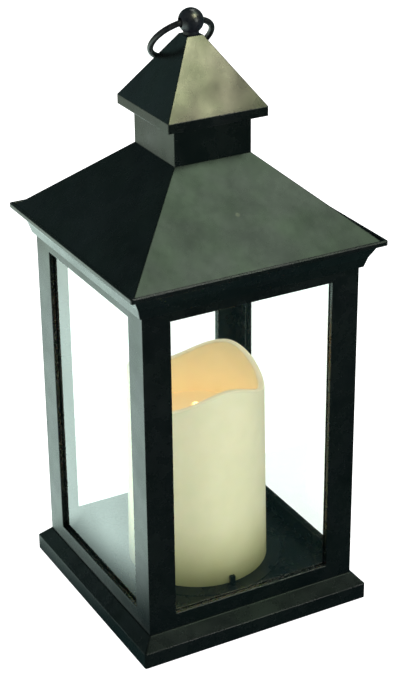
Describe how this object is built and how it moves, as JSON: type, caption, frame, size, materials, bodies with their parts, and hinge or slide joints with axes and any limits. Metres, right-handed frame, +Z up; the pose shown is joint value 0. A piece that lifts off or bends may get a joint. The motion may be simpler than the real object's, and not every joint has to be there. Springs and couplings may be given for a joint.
{
  "type": "table lantern lamp",
  "caption": "Square table lantern with glazed walls, hipped roof, ball finial with a swinging ring, and a battery candle light that twists out from below.",
  "frame": {"origin": "centre of the footprint on the table", "axes": "+Z up, front face towards -Y, ring hole along X"},
  "size_m": [0.1484, 0.1484, 0.3365],
  "materials": {
    "housing_plastic": "near-black satin moulding with a fine mottle",
    "finial_gloss": "glossy blue-black",
    "ring_wire": "satin black enamel",
    "clear_pane": "clear polished sheet",
    "candle_wax": "ivory, faintly translucent, waxy",
    "lamp_deck": "ivory",
    "led_lens": "frosted amber lens",
    "board": "green laminate",
    "steel": "zinc plated",
    "rubber": "matt",
    "base_plastic": "matt black moulding",
    "cell_wrap": "printed sleeve left plain",
    "lead_cover": "red insulation"
  },
  "bodies": {
    "housing": {"base_plinth": "housing_plastic", "front_frame": "housing_plastic", "right_frame": "housing_plastic", "back_frame": "housing_plastic", "left_frame": "housing_plastic", "cornice": "housing_plastic", "main_roof": "housing_plastic", "chimney": "housing_plastic", "top_roof": "housing_plastic", "finial": "finial_gloss", "front_pane": "clear_pane", "right_pane": "clear_pane", "back_pane": "clear_pane", "left_pane": "clear_pane", "rubber_feet": "rubber", "wall_screws": "steel", "cornice_screws": "steel", "roof_screws": "steel", "chimney_screws": "steel", "finial_screw": "steel"},
    "ring": {"hanging_ring": "ring_wire"},
    "candle_unit": {"twist_base": "base_plastic", "candle_shell": "candle_wax", "led_deck": "lamp_deck", "led_bulb": "led_lens", "circuit_board": "board", "board_screws": "steel", "battery_holder": "base_plastic", "holder_screws": "steel", "battery_cells": "cell_wrap", "battery_contacts": "steel", "leads": "lead_cover", "slide_switch": "base_plastic"},
    "switch": {"switch_knob": "base_plastic"},
    "door": {"battery_door": "base_plastic", "door_contact": "steel"}
  },
  "joints": [
    {"name": "ring_swing", "type": "hinge", "parent": "housing", "child": "ring", "pos_m": [0, 0, 0.3296], "axis": [1, 0, 0], "range_deg": [-4, 278]},
    {"name": "candle_twist", "type": "hinge", "parent": "housing", "child": "candle_unit", "pos_m": [0, 0, 0.0137], "axis": [0, 0, 1], "range_deg": [0, 38]},
    {"name": "switch_slide", "type": "slide", "parent": "candle_unit", "child": "switch", "axis": [1, 0, 0], "range_m": [0, 0.005]},
    {"name": "door_slide", "type": "slide", "parent": "candle_unit", "child": "door", "axis": [1, 0, 0], "range_m": [0, 0.006]}
  ]
}
